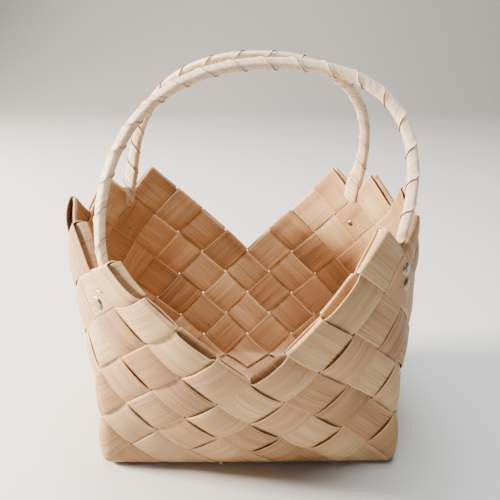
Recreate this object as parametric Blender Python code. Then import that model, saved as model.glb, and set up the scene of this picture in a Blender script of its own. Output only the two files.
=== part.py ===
"""A double plaited wood splint basket with a folded zigzag rim and two wrapped bow handles.

Sixteen splints cross the base on the diagonal. Each one climbs the wall at both ends, folds
back over the rim and runs down again inside, so the wall is four splints thick. The ends of
the two bows sit in pockets between the outer and the inner pair, held by rivets and staples.

The plait is laid out on a grid whose step is half the diagonal of one square. On the wall a
place is (column, row): columns run round the basket from its front left corner, rows count up
from the edge of the base. On the base a place is (x, y), seen from below with the front up.
"""
import math

import bmesh
import bpy
from mathutils import Matrix, Quaternion, Vector
from mathutils.kdtree import KDTree

# Splints, in metres
SPLINT_PITCH = 0.030
SPLINT_SPACE = 0.0022
SPLINT_THICKNESS = 0.0009
PLY_GAP = 0.0003
FOLD_REACH = 0.0012

# Squares of the plait, counted in half diagonals
BASE_COLUMNS = 10
BASE_ROWS = 6
RIM_ROW = 9
NOTCH_ROW = 5

# Rim, measured from the middle of the base
FRONT_REACH = 0.1075
FRONT_HEIGHT = 0.1805
BACK_REACH = 0.1125
BACK_HEIGHT = 0.1765
LEFT_REACH = 0.124
LEFT_HEIGHT = 0.182
RIGHT_REACH = 0.1095
RIGHT_HEIGHT = 0.1895
SIDE_SETBACK = 0.002
FRONT_LEFT_REACH = 0.0925
FRONT_LEFT_DEPTH = 0.059
FRONT_LEFT_HEIGHT = 0.180
FRONT_RIGHT_REACH = 0.0895
FRONT_RIGHT_DEPTH = 0.053
FRONT_RIGHT_HEIGHT = 0.188
BACK_RIGHT_REACH = 0.0865
BACK_RIGHT_DEPTH = 0.058
BACK_RIGHT_HEIGHT = 0.186
BACK_LEFT_REACH = 0.0975
BACK_LEFT_DEPTH = 0.063
BACK_LEFT_HEIGHT = 0.1845

# Where the wall heads for as it leaves the base, before it curves over to the rim
FRONT_AIM_REACH = 0.106
BACK_AIM_REACH = 0.0985
SIDE_AIM_REACH = 0.1335
FRONT_CORNER_AIM_REACH = 0.0985
FRONT_CORNER_AIM_DEPTH = 0.054
BACK_CORNER_AIM_REACH = 0.102
BACK_CORNER_AIM_DEPTH = 0.062

# Bow handles
FRONT_BOW_HEIGHT = 0.2757
FRONT_BOW_SHIFT = 0.0145
FRONT_BOW_ROOT_PULL = 0.034
FRONT_BOW_TOP_PULL = 0.1075
BACK_BOW_HEIGHT = 0.279
BACK_BOW_SHIFT = 0.0065
BACK_BOW_ROOT_PULL = 0.0345
BACK_BOW_TOP_PULL = 0.089
BOW_TOP_DEPTH = 0.0048
BOW_WIDTH = 0.0056
BOW_THICKNESS = 0.0038
BOW_RING_STEP = 0.006

# Lean of each bow leg where it leaves its pocket, to the left as seen from outside
FRONT_LEFT_LEAN_SHARE = 0.5
FRONT_RIGHT_LEAN_SHARE = -0.3
BACK_RIGHT_LEAN_SHARE = 0.5
BACK_LEFT_LEAN_SHARE = 0.5

# Ends of the bows in their pockets
TONGUE_WIDTH = 0.0076
TONGUE_THICKNESS = 0.0028
TONGUE_TIP_THICKNESS = 0.0016
TONGUE_TIP_ROW = 6.36
TONGUE_EXIT_ROW = 8.25
TONGUE_SIDE_SHARE = 0.25
POCKET_ROW = 7
POCKET_FADE_ROWS = 2

# Wrapping of the bows
WRAP_WIDTH = 0.0190
WRAP_SEAM = 0.0004
WRAP_THICKNESS = 0.0005
WRAP_GAP = 0.0004
WRAP_START = 0.011
WRAP_STRIPS = 3

# Fasteners
RIVET_HEAD_RADIUS = 0.0045
RIVET_HEAD_HEIGHT = 0.0017
RIVET_SHANK_RADIUS = 0.0015
RIVET_TAIL_RADIUS = 0.0026
RIVET_TAIL_HEIGHT = 0.0009
RIVET_SIDES = 12
RIVET_UPPER_ROW = 7.38
RIVET_LOWER_ROW = 6.76
STAPLE_WIDTH = 0.0056
STAPLE_WIRE = 0.0007
STAPLE_FOOT = 0.0014

CORNER_COLUMNS = (0, BASE_COLUMNS, BASE_COLUMNS + BASE_ROWS, 2 * BASE_COLUMNS + BASE_ROWS)
ROUND = 2 * (BASE_COLUMNS + BASE_ROWS)
STEP = SPLINT_PITCH / math.sqrt(2)
SQUARE_SHARE = 1 - SPLINT_SPACE / SPLINT_PITCH
PLY_STEP = SPLINT_THICKNESS + PLY_GAP
PLY_OUT = {1: 2.5 * PLY_STEP, 2: 1.5 * PLY_STEP, 3: 0.5 * PLY_STEP, 4: -0.5 * PLY_STEP}
PLY_MIDDLE = (PLY_OUT[2] + PLY_OUT[3]) / 2
POCKET_SPREAD = (TONGUE_THICKNESS + PLY_GAP) / 2
BASE_LEVEL = PLY_OUT[1] + SPLINT_THICKNESS / 2
OUTER_FACE = PLY_OUT[1] + SPLINT_THICKNESS / 2 + POCKET_SPREAD
INNER_FACE = PLY_OUT[4] - SPLINT_THICKNESS / 2 - POCKET_SPREAD
WRAP_PITCH = WRAP_WIDTH + WRAP_SEAM


def clear_scene():
    for old in list(bpy.data.objects):
        bpy.data.objects.remove(old, do_unlink=True)


def make_material(name, colour, roughness, metallic=0.0):
    material = bpy.data.materials.new(name)
    material.use_nodes = True
    shader = material.node_tree.nodes["Principled BSDF"]
    shader.inputs["Base Color"].default_value = (*colour, 1.0)
    shader.inputs["Roughness"].default_value = roughness
    shader.inputs["Metallic"].default_value = metallic
    return material


def face_outward(bm):
    bmesh.ops.recalc_face_normals(bm, faces=bm.faces[:])
    if bm.calc_volume(signed=True) < 0:
        bmesh.ops.reverse_faces(bm, faces=bm.faces[:])


def add_object(name, bm, material, smooth=False):
    face_outward(bm)
    mesh = bpy.data.meshes.new(name)
    bm.to_mesh(mesh)
    bm.free()
    if smooth:
        mesh.shade_smooth()
        mesh.set_sharp_from_angle(angle=math.radians(35))
    if material:
        mesh.materials.append(material)
    made = bpy.data.objects.new(name, mesh)
    bpy.context.collection.objects.link(made)
    return made


def make_cutter(name, bm):
    cutter = add_object(name, bm, None)
    cutter.hide_render = True
    cutter.display_type = "WIRE"
    return cutter


def lie_close(one, other):
    """Whether a corner of one body lies within a splint's width of a corner of the other."""
    tree = KDTree(len(other.data.vertices))
    for vertex in other.data.vertices:
        tree.insert(vertex.co, vertex.index)
    tree.balance()
    return any(tree.find(vertex.co)[2] < SPLINT_PITCH for vertex in one.data.vertices)


def cut(body, cutter):
    if lie_close(body, cutter):
        modifier = body.modifiers.new("cut_" + cutter.name, "BOOLEAN")
        modifier.operation = "DIFFERENCE"
        modifier.object = cutter


# Shape of the wall

def base_corner_place(column):
    """The edge of the base at a column, as x and y from the middle of the base."""
    column = column % ROUND
    half_x = BASE_COLUMNS / 2 * STEP
    half_y = BASE_ROWS / 2 * STEP
    right, back, left = CORNER_COLUMNS[1:]
    if column <= right:
        return column * STEP - half_x, -half_y
    if column <= back:
        return half_x, (column - right) * STEP - half_y
    if column <= left:
        return half_x - (column - back) * STEP, half_y
    return -half_x, half_y - (column - left) * STEP


def wall_stations():
    """Column, the rim's x, y and height, and the aim's x and y, at corners and wall middles."""
    front, right, back, left = CORNER_COLUMNS
    across = BASE_COLUMNS / 2
    deep = BASE_ROWS / 2
    front_left_aim = (-FRONT_CORNER_AIM_REACH, -FRONT_CORNER_AIM_DEPTH)
    front_right_aim = (FRONT_CORNER_AIM_REACH, -FRONT_CORNER_AIM_DEPTH)
    back_right_aim = (BACK_CORNER_AIM_REACH, BACK_CORNER_AIM_DEPTH)
    back_left_aim = (-BACK_CORNER_AIM_REACH, BACK_CORNER_AIM_DEPTH)
    return [
        (front, -FRONT_LEFT_REACH, -FRONT_LEFT_DEPTH, FRONT_LEFT_HEIGHT, *front_left_aim),
        (front + across, 0, -FRONT_REACH, FRONT_HEIGHT, 0, -FRONT_AIM_REACH),
        (right, FRONT_RIGHT_REACH, -FRONT_RIGHT_DEPTH, FRONT_RIGHT_HEIGHT, *front_right_aim),
        (right + deep, RIGHT_REACH, SIDE_SETBACK, RIGHT_HEIGHT, SIDE_AIM_REACH, SIDE_SETBACK),
        (back, BACK_RIGHT_REACH, BACK_RIGHT_DEPTH, BACK_RIGHT_HEIGHT, *back_right_aim),
        (back + across, 0, BACK_REACH, BACK_HEIGHT, 0, BACK_AIM_REACH),
        (left, -BACK_LEFT_REACH, BACK_LEFT_DEPTH, BACK_LEFT_HEIGHT, *back_left_aim),
        (left + deep, -LEFT_REACH, SIDE_SETBACK, LEFT_HEIGHT, -SIDE_AIM_REACH, SIDE_SETBACK),
    ]


STATIONS = wall_stations()


def station_value(column, item):
    """A smooth closed curve through one value of the stations, with even tangents."""
    column = column % ROUND
    count = len(STATIONS)
    index = max(k for k in range(count) if STATIONS[k][0] <= column)

    def knot(k):
        return STATIONS[k % count][0] + ROUND * (k // count)

    def value(k):
        return STATIONS[k % count][item]

    def slope(k):
        before = knot(k) - knot(k - 1)
        after = knot(k + 1) - knot(k)
        rise_before = (value(k) - value(k - 1)) / before
        rise_after = (value(k + 1) - value(k)) / after
        return (rise_before * after + rise_after * before) / (before + after)

    span = knot(index + 1) - knot(index)
    t = (column - knot(index)) / span
    start = (2 * t ** 3 - 3 * t ** 2 + 1) * value(index)
    start += (t ** 3 - 2 * t ** 2 + t) * span * slope(index)
    end = (3 * t ** 2 - 2 * t ** 3) * value(index + 1)
    end += (t ** 3 - t ** 2) * span * slope(index + 1)
    return start + end


def wall_point(column, row):
    """A point of the wall between its second and third splint from outside."""
    up = row / RIM_ROW
    base = Vector(base_corner_place(column))
    rim = Vector((station_value(column, 1), station_value(column, 2)))
    aim = Vector((station_value(column, 4), station_value(column, 5)))
    plan = base.lerp(aim, up).lerp(aim.lerp(rim, up), up)
    return Vector((*plan, BASE_LEVEL + station_value(column, 3) * up))


def base_point(x, y):
    return Vector(((x - BASE_COLUMNS / 2) * STEP, (-y - BASE_ROWS / 2) * STEP, BASE_LEVEL))


def wall_to_base(column, row):
    """The base place that a wall place below the edge unfolds to, and the turn between them."""
    column = column % ROUND
    right, back, left = CORNER_COLUMNS[1:]
    if column < right:
        return (column, row), lambda dc, dr: (dc, dr)
    if column < back:
        return (BASE_COLUMNS + row, right - column), lambda dc, dr: (dr, -dc)
    if column < left:
        return (left - column, -BASE_ROWS - row), lambda dc, dr: (-dc, -dr)
    return (-row, column - ROUND), lambda dc, dr: (-dr, dc)


def base_to_wall(x, y):
    """The column of a place on the edge of the base, and the turn from base to wall."""
    right, back, left = CORNER_COLUMNS[1:]
    if y == 0:
        return x, lambda dx, dy: (dx, dy)
    if x == BASE_COLUMNS:
        return right - y, lambda dx, dy: (-dy, dx)
    if y == -BASE_ROWS:
        return left - x, lambda dx, dy: (-dx, -dy)
    return ROUND + y, lambda dx, dy: (dy, -dx)


def rim_row(column):
    """Rows to the rim: a zigzag with a deep notch in the middle of the front and the back."""
    column = column % ROUND
    zigzag = RIM_ROW - 1 + column % 2
    front_middle = BASE_COLUMNS / 2
    back_middle = CORNER_COLUMNS[2] + BASE_COLUMNS / 2
    from_middle = min(abs(column - front_middle), abs(column - back_middle))
    return min(zigzag, NOTCH_ROW + from_middle)


def pocket_opening(column, row):
    """How wide the plies part for a handle, from 0 to 1."""
    away = min(abs((column - corner + ROUND / 2) % ROUND - ROUND / 2) for corner in CORNER_COLUMNS)
    beside = min(max(2 - away, 0), 1)
    below = min(max((row - (POCKET_ROW - 1 - POCKET_FADE_ROWS)) / POCKET_FADE_ROWS, 0), 1)
    return beside * below


# Squares of the plait

def face_normal(a, b, c):
    return (b - a).cross(c - a).normalized()


class Square:
    """One crossing: four corner points and, at each, the way out through the plies.

    The fold lies between two opposite corners. There the way out is longer, so that
    plies stacked along it keep their thickness on both sides of the fold.
    """

    def __init__(self, corners, fold, openings=(0, 0, 0, 0)):
        self.points = dict(zip(((1, 0), (0, 1), (-1, 0), (0, -1)), corners))
        self.openings = dict(zip(self.points, openings))
        right, top, left, bottom = corners
        if fold == "upright":
            sides = {(1, 0): face_normal(bottom, right, top), (-1, 0): face_normal(top, left, bottom)}
        else:
            sides = {(0, 1): face_normal(right, top, left), (0, -1): face_normal(left, bottom, right)}
        one, other = sides.values()
        seam = (one + other) / (1 + one.dot(other))
        self.fold = [key for key in self.points if key not in sides]
        self.ways = {key: sides.get(key, seam) for key in self.points}
        self.sides = sides

    def at(self, key, ply):
        spread = POCKET_SPREAD if ply <= 2 else -POCKET_SPREAD
        return self.points[key] + self.ways[key] * (PLY_OUT[ply] + spread * self.openings[key])


def wall_square(column, row):
    s = SQUARE_SHARE
    places = ((column + s, row), (column, row + s), (column - s, row), (column, row - s))
    corners = [wall_point(*place) for place in places]
    if row == 0:
        below, turn = wall_to_base(column, -s)
        corners[3] = base_point(*below)
        return Square(corners, "level")
    return Square(corners, "upright", [pocket_opening(*place) for place in places])


def base_square(x, y):
    s = SQUARE_SHARE
    corners = [base_point(*place) for place in ((x + s, y), (x, y + s), (x - s, y), (x, y - s))]
    return Square(corners, "level")


# Splints

def rear_and_front_keys(dx, dy):
    """The corners that a splint enters and leaves a square by, as (left, right) pairs."""
    if dx * dy > 0:
        return ((-dx, 0), (0, -dy)), ((0, dy), (dx, 0))
    return ((0, -dy), (-dx, 0)), ((dx, 0), (0, dy))


def outer_ply(column, dc, dr):
    """1 where the splint lies outside, 2 where it passes behind the crossing one."""
    leans_right = dc * dr > 0
    return 1 if leans_right == (column % 2 == 0) else 2


def climb(column, direction):
    """The squares from the base edge up to the rim, for a splint that climbs one way."""
    squares = []
    row = 0
    while row < rim_row(column):
        squares.append((wall_square(column, row), outer_ply(column, direction, 1)))
        column = (column + direction) % ROUND
        row += 1
    return squares


def cross_base(column, direction):
    """The base squares from one edge square to the next, where it ends and which way it leaves."""
    (x, y), turn = wall_to_base(column, 0)
    dx, dy = turn(direction, -1)
    ply = outer_ply(column, direction, -1)
    squares = []
    while True:
        x, y, ply = x + dx, y + dy, 3 - ply
        if x in (0, BASE_COLUMNS) or y in (0, -BASE_ROWS):
            end, turn_up = base_to_wall(x, y)
            return squares, (dx, dy), end, turn_up(dx, dy)[0]
        squares.append((base_square(x, y), ply))


def straight_stations(square, ply, keys_pair, facing):
    """Cross lines of a splint over one square, as a left and a right edge point.

    An edge point holds its place on each face of the splint and whether it ends the fold.
    """
    stations = []
    for keys in keys_pair:
        edges = []
        for key in keys:
            middle = square.at(key, ply)
            half = square.ways[key] * (SPLINT_THICKNESS / 2 * facing)
            edges.append((middle + half, middle - half, key in square.fold))
        stations.append(edges)
    return stations


def fold_stations(square, ply, rim_keys, rear_keys):
    """Cross lines of the fold over the rim, from the outer ply to the ply two further in."""
    forward = sum((square.points[key] for key in rim_keys), Vector())
    forward -= sum((square.points[key] for key in rear_keys), Vector())
    stations = []
    for turn in (45, 90, 135):
        angle = math.radians(turn)
        edges = []
        for key in rim_keys:
            out = square.ways[key].normalized()
            ahead = (forward - out * forward.dot(out)).normalized()
            outer, inner = square.at(key, ply), square.at(key, ply + 2)
            half_depth = (outer - inner).length / 2
            middle = (outer + inner) / 2
            place = middle + out * half_depth * math.cos(angle) + ahead * FOLD_REACH * math.sin(angle)
            away = out * math.cos(angle) / half_depth + ahead * math.sin(angle) / FOLD_REACH
            away = away.normalized() * SPLINT_THICKNESS / 2
            edges.append((place + away, place - away, False))
        stations.append(edges)
    return stations


def wall_run(squares, direction):
    """Stations up the outside of the wall, over the rim and down the inside."""
    keys = rear_and_front_keys(direction, 1)
    outside, inside = [], []
    for square, ply in squares:
        outside += straight_stations(square, ply, keys, 1)
        inside += straight_stations(square, ply + 2, keys, -1)
    square, ply = squares[-1]
    return outside + fold_stations(square, ply, keys[1], keys[0]) + inside[::-1]


def splint_mesh(stations):
    """A closed strip through the stations, split into triangles along the folds."""
    bm = bmesh.new()
    rings = []
    for left, right in stations:
        rings.append([bm.verts.new(p) for p in (left[0], right[0], right[1], left[1])])
    for k in range(len(rings) - 1):
        ring, following = rings[k], rings[k + 1]
        left_to_right = stations[k][0][2] and stations[k + 1][1][2]
        for left, right in ((0, 1), (3, 2)):
            near, far = (left, right) if left_to_right else (right, left)
            bm.faces.new((ring[left], ring[right], following[far]))
            bm.faces.new((following[left], following[right], ring[near]))
        for upper, lower in ((1, 2), (3, 0)):
            bm.faces.new((ring[upper], ring[lower], following[lower], following[upper]))
    bm.faces.new(rings[0])
    bm.faces.new(rings[-1][::-1])
    return bm


def splint_path(column, direction):
    """All stations of the splint that enters the base at a column, and where it leaves."""
    first = climb(column, -direction)
    across, heading, end, end_direction = cross_base(column, direction)
    last = climb(end, end_direction)
    rising = wall_run(first, -direction)
    start = [[right, left] for left, right in rising][::-1]
    middle = []
    for square, ply in across:
        middle += straight_stations(square, ply, rear_and_front_keys(*heading), 1)
    return start + middle + wall_run(last, end_direction), end


def make_splints(materials):
    """One splint for each pair of edge squares, named by the way it crosses the base."""
    made = []
    counts = {"a": 0, "b": 0}
    for column in range(1, ROUND, 2):
        for direction in (1, -1):
            stations, end = splint_path(column, direction)
            if end < column:
                continue
            (x, y), turn = wall_to_base(column, 0)
            dx, dy = turn(direction, -1)
            run = "a" if dx * dy < 0 else "b"
            counts[run] += 1
            name = f"splint_{run}_{counts[run]}"
            bm = splint_mesh(stations)
            material = materials[(counts[run] + (run == "b")) % len(materials)]
            made.append(add_object(name, bm, material))
    return made


# Pockets for the handle ends

class Pocket:
    """The flat facet of a corner square, on the right of its corner, where a handle end lies."""

    def __init__(self, corner, lean_share):
        square = wall_square(corner, POCKET_ROW)
        top, bottom, right = (square.points[key] for key in ((0, 1), (0, -1), (1, 0)))
        self.centre = (top + bottom) / 2
        self.row_way = (top - bottom) / (2 * SQUARE_SHARE)
        self.side_way = (right - self.centre) / SQUARE_SHARE
        self.out = square.sides[(1, 0)]
        self.faces_side = abs(self.out.x) > abs(self.out.y)
        rise = self.row_way.normalized()
        self.bow_way = (rise + self.out.cross(rise) * lean_share).normalized()

    def sideward(self, side):
        """Square to the handle, out of the facet or along it, to the left or to the right."""
        way = self.out if self.faces_side else self.row_way.cross(self.out).normalized()
        return way * math.copysign(1, way.x * side)

    def place(self, row, level=PLY_MIDDLE):
        along = self.row_way * (row - POCKET_ROW)
        return self.centre + along + self.side_way * TONGUE_SIDE_SHARE + self.out * level


# Bow handles

def bezier(a, b, c, d, count):
    points = []
    for k in range(count + 1):
        t = k / count
        s = 1 - t
        points.append(a * s ** 3 + b * 3 * s * s * t + c * 3 * s * t * t + d * t ** 3)
    return points


class BowPath:
    """The middle line of one bow, from tip to tip, with its frame and section along it.

    Up points away from the hollow of the bow. A tongue is thin along up where its pocket
    faces the side of the basket, and across it where the pocket faces front or back.
    """

    def __init__(self, left_pocket, right_pocket, top, root_pull, top_pull):
        left = self.leg(left_pocket, root_pull, -top_pull, top)
        right = self.leg(right_pocket, root_pull, top_pull, top)
        self.points = left + right[::-1][1:]
        self.lengths = [0.0]
        for a, b in zip(self.points, self.points[1:]):
            self.lengths.append(self.lengths[-1] + (b - a).length)
        self.length = self.lengths[-1]
        exit_rows = TONGUE_EXIT_ROW - TONGUE_TIP_ROW
        self.tongue = (left_pocket.row_way * exit_rows).length
        self.sideways = (left_pocket.faces_side, right_pocket.faces_side)
        self.ups = self.carry(left_pocket.sideward(-1), right_pocket.sideward(1))

    def carry(self, first, last):
        """Up at every point, carried on without twist, what is left to turn spread evenly."""
        ways = [(b - a).normalized() for a, b in zip(self.points, self.points[1:])]
        ways.append(ways[-1])
        ups = [first]
        for a, b in zip(ways, ways[1:]):
            ups.append(a.rotation_difference(b) @ ups[-1])
        rest = math.atan2(ways[-1].dot(ups[-1].cross(last)), ups[-1].dot(last))
        free = self.length - 2 * self.tongue
        turned = []
        for way, up, s in zip(ways, ups, self.lengths):
            share = min(max((s - self.tongue) / free, 0), 1)
            turned.append(Quaternion(way, rest * share) @ up)
        return turned

    def leg(self, pocket, root_pull, top_pull, top):
        """From the tip in its pocket, up out of the wall and over to the top."""
        tip = pocket.place(TONGUE_TIP_ROW)
        exit_point = pocket.place(TONGUE_EXIT_ROW)
        first = exit_point + pocket.bow_way * root_pull
        second = top + Vector((top_pull, 0, 0))
        count = round(top.z / BOW_RING_STEP)
        return [tip] + bezier(exit_point, first, second, top, 2 * count)

    def between(self, values, s):
        """A value at a distance along the line, from its values at the points."""
        s = min(max(s, 0.0), self.length)
        index = max(k for k in range(len(self.lengths) - 1) if self.lengths[k] <= s)
        span = self.lengths[index + 1] - self.lengths[index]
        return values[index].lerp(values[index + 1], (s - self.lengths[index]) / span)

    def frame(self, s):
        """The way along the line, up, and across both."""
        reach = BOW_RING_STEP / 2
        ahead = self.between(self.points, s + reach)
        along = (ahead - self.between(self.points, s - reach)).normalized()
        up = self.between(self.ups, s)
        up = (up - along * up.dot(along)).normalized()
        return along, up, along.cross(up)

    def section(self, s, grow):
        """Half sizes along up and across it."""
        from_end = min(s, self.length - s)
        tip_share = min(from_end / self.tongue, 1)
        thin = TONGUE_TIP_THICKNESS + (TONGUE_THICKNESS - TONGUE_TIP_THICKNESS) * tip_share
        sideways = self.sideways[0] if s < self.length / 2 else self.sideways[1]
        tongue = (thin, TONGUE_WIDTH) if sideways else (TONGUE_WIDTH, thin)
        t = min(max(from_end / self.tongue - 1, 0), 1)
        free_share = t * t * (3 - 2 * t)
        bow = (BOW_WIDTH, BOW_THICKNESS)
        return [(a + (b - a) * free_share) / 2 + grow for a, b in zip(tongue, bow)]

    def corner(self, s, k, grow):
        """Corner k of the section, counted round the bow."""
        along, up, across = self.frame(s)
        half_up, half_across = self.section(s, grow)
        side = (1, 1, -1, -1)[k % 4]
        face = (1, -1, -1, 1)[k % 4]
        return self.between(self.points, s) + across * side * half_across + up * face * half_up


def bow_core_mesh(path, grow):
    bm = bmesh.new()
    count = round(path.length / BOW_RING_STEP)
    rings = []
    beyond = {0: -grow, count: grow}
    for n in range(count + 1):
        s = path.length * n / count
        shift = path.frame(s)[0] * beyond.get(n, 0)
        rings.append([bm.verts.new(path.corner(s, k, grow) + shift) for k in range(4)])
    for ring, following in zip(rings, rings[1:]):
        for k in range(4):
            bm.faces.new((ring[k], ring[(k + 1) % 4], following[(k + 1) % 4], following[k]))
    bm.faces.new(rings[0])
    bm.faces.new(rings[-1][::-1])
    return bm


def bow_wrap_mesh(path, turn):
    """One ribbon wound round the bow from leg to leg, its turns edge to edge."""
    bm = bmesh.new()
    start = path.tongue + WRAP_START + WRAP_WIDTH / 2
    turns = (path.length - 2 * start) / WRAP_PITCH
    corners = round(turns * 4)
    step = (path.length - 2 * start) / corners
    width = step * 4 - WRAP_SEAM
    rows = []
    for n in range(corners + 1):
        middle = start + n * step
        places = [middle + width * (k / WRAP_STRIPS - 0.5) for k in range(WRAP_STRIPS + 1)]
        inner = [path.corner(s, turn * n, WRAP_GAP) for s in places]
        outer = [path.corner(s, turn * n, WRAP_GAP + WRAP_THICKNESS) for s in places]
        rows.append([bm.verts.new(point) for point in inner + outer[::-1]])
    around = len(rows[0])
    for row, following in zip(rows, rows[1:]):
        for k in range(around):
            after = (k + 1) % around
            bm.faces.new((row[k], row[after], following[after], following[k]))
    bm.faces.new(rows[0])
    bm.faces.new(rows[-1][::-1])
    return bm


def make_bow(name, path, turn, materials):
    """The bow's core, its wrapping, and the room that it needs between the plies."""
    core = add_object(f"{name}_bow_core", bow_core_mesh(path, 0), materials["core"])
    add_object(f"{name}_bow_wrap", bow_wrap_mesh(path, turn), materials["wrap"])
    room = make_cutter(f"{name}_bow_room", bow_core_mesh(path, PLY_GAP))
    return core, room


# Rivets and staples

def axis_matrix(origin, out, up):
    """Local X along the wall, Y up it and Z out of it."""
    z = out.normalized()
    x = up.cross(z).normalized()
    y = z.cross(x)
    rotation = Matrix((x, y, z)).transposed().to_4x4()
    return Matrix.Translation(origin) @ rotation


def lathe(profile, sides):
    """A closed body turned about Z from (radius, height) points that start and end on it."""
    bm = bmesh.new()
    verts = [bm.verts.new((radius, 0, height)) for radius, height in profile]
    edges = [bm.edges.new(pair) for pair in zip(verts, verts[1:])]
    bmesh.ops.spin(bm, geom=verts + edges, cent=(0, 0, 0), axis=(0, 0, 1),
                   angle=2 * math.pi, steps=sides, use_merge=True)
    bmesh.ops.remove_doubles(bm, verts=bm.verts[:], dist=PLY_GAP / 10)
    return bm


def rivet_profile():
    seat = OUTER_FACE + PLY_GAP
    clench = INNER_FACE - PLY_GAP
    profile = [(0, seat + RIVET_HEAD_HEIGHT)]
    for turn in (30, 60, 90):
        angle = math.radians(turn)
        radius = RIVET_HEAD_RADIUS * math.sin(angle)
        profile.append((radius, seat + RIVET_HEAD_HEIGHT * math.cos(angle)))
    profile += [(RIVET_SHANK_RADIUS, seat), (RIVET_SHANK_RADIUS, clench)]
    profile += [(RIVET_TAIL_RADIUS, clench), (RIVET_SHANK_RADIUS, clench - RIVET_TAIL_HEIGHT)]
    return profile + [(0, clench - RIVET_TAIL_HEIGHT)]


def make_rivet(name, pocket, row, material):
    """A domed rivet through the wall and the handle, and the hole it needs."""
    place = axis_matrix(pocket.place(row, 0), pocket.out, pocket.row_way)
    rivet = add_object(name, lathe(rivet_profile(), RIVET_SIDES), material, smooth=True)
    rivet.matrix_world = place
    radius = RIVET_SHANK_RADIUS + PLY_GAP
    top = OUTER_FACE + RIVET_HEAD_HEIGHT
    bottom = INNER_FACE - RIVET_TAIL_HEIGHT
    bm = lathe([(0, top), (radius, top), (radius, bottom), (0, bottom)], RIVET_SIDES)
    bm.transform(place)
    return make_cutter(f"{name}_hole", bm)


def staple_outline():
    """The wire staple from the side, with its feet turned in behind the wall."""
    half = STAPLE_WIDTH / 2
    wire = STAPLE_WIRE
    top = OUTER_FACE + PLY_GAP
    low = INNER_FACE - PLY_GAP - wire
    foot = half - wire - STAPLE_FOOT
    right = [(half, top + wire), (half, low), (foot, low), (foot, low + wire)]
    right += [(half - wire, low + wire), (half - wire, top)]
    return right + [(-x, y) for x, y in right[::-1]]


def extrude_outline(outline, depth):
    bm = bmesh.new()
    face = bm.faces.new([bm.verts.new((x, -depth / 2, z)) for x, z in outline])
    grown = bmesh.ops.extrude_face_region(bm, geom=[face])["geom"]
    moved = [item for item in grown if isinstance(item, bmesh.types.BMVert)]
    bmesh.ops.translate(bm, verts=moved, vec=(0, depth, 0))
    return bm


def make_staple(name, pocket, row, material):
    """A staple through the wall and the handle, and the two slots for its legs."""
    place = axis_matrix(pocket.place(row, 0), pocket.out, pocket.row_way)
    staple = add_object(name, extrude_outline(staple_outline(), STAPLE_WIRE), material)
    staple.matrix_world = place
    slots = []
    for side in (1, -1):
        middle = side * (STAPLE_WIDTH - STAPLE_WIRE) / 2
        half = STAPLE_WIRE / 2 + PLY_GAP
        top = OUTER_FACE + STAPLE_WIDTH
        bottom = INNER_FACE - STAPLE_WIDTH
        outline = [(middle - half, bottom), (middle + half, bottom)]
        outline += [(middle + half, top), (middle - half, top)]
        bm = extrude_outline(outline, 2 * half)
        bm.transform(place)
        slots.append(make_cutter(f"{name}_slot_{'right' if side > 0 else 'left'}", bm))
    return slots


def centre_on_origin():
    """Move everything so that the origin lies under the middle of the basket."""
    solids = [made for made in bpy.data.objects if not made.hide_render]
    points = [made.matrix_world @ vertex.co for made in solids for vertex in made.data.vertices]
    middle = [(min(p[axis] for p in points) + max(p[axis] for p in points)) / 2 for axis in (0, 1)]
    for made in bpy.data.objects:
        made.location -= Vector((*middle, 0))


def main():
    clear_scene()
    splint_woods = [
        make_material("splint_light", (0.72, 0.52, 0.33), 0.55),
        make_material("splint_warm", (0.66, 0.43, 0.25), 0.55),
        make_material("splint_pale", (0.76, 0.58, 0.40), 0.55),
    ]
    bow_woods = {
        "core": make_material("bow_core_wood", (0.70, 0.53, 0.36), 0.6),
        "wrap": make_material("bow_wrap_wood", (0.80, 0.70, 0.56), 0.55),
    }
    rivet_metal = make_material("rivet_metal", (0.62, 0.57, 0.48), 0.35, 1.0)
    staple_metal = make_material("staple_metal", (0.55, 0.50, 0.42), 0.4, 1.0)

    splints = make_splints(splint_woods)
    leans = (FRONT_LEFT_LEAN_SHARE, FRONT_RIGHT_LEAN_SHARE, BACK_RIGHT_LEAN_SHARE, BACK_LEFT_LEAN_SHARE)
    front_left, front_right, back_right, back_left = map(Pocket, CORNER_COLUMNS, leans)
    front_top = Vector((FRONT_BOW_SHIFT, -BOW_TOP_DEPTH, FRONT_BOW_HEIGHT))
    back_top = Vector((BACK_BOW_SHIFT, BOW_TOP_DEPTH, BACK_BOW_HEIGHT))
    front_path = BowPath(front_left, front_right, front_top, FRONT_BOW_ROOT_PULL, FRONT_BOW_TOP_PULL)
    back_path = BowPath(back_left, back_right, back_top, BACK_BOW_ROOT_PULL, BACK_BOW_TOP_PULL)
    front_core, front_room = make_bow("front", front_path, 1, bow_woods)
    back_core, back_room = make_bow("back", back_path, -1, bow_woods)
    holes = [
        make_rivet("rivet_front_right_upper", front_right, RIVET_UPPER_ROW, rivet_metal),
        make_rivet("rivet_front_right_lower", front_right, RIVET_LOWER_ROW, rivet_metal),
        make_rivet("rivet_front_left", front_left, RIVET_LOWER_ROW, rivet_metal),
        make_rivet("rivet_back_right", back_right, RIVET_LOWER_ROW, rivet_metal),
        make_rivet("rivet_back_left", back_left, RIVET_LOWER_ROW, rivet_metal),
    ]
    holes += make_staple("staple_front_left", front_left, RIVET_UPPER_ROW, staple_metal)
    holes += make_staple("staple_back_right", back_right, RIVET_UPPER_ROW, staple_metal)
    holes += make_staple("staple_back_left", back_left, RIVET_UPPER_ROW, staple_metal)
    bpy.context.view_layer.update()
    for splint in splints:
        for cutter in (front_room, back_room, *holes):
            cut(splint, cutter)
    for core in (front_core, back_core):
        for hole in holes:
            cut(core, hole)
    centre_on_origin()


main()
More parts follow.
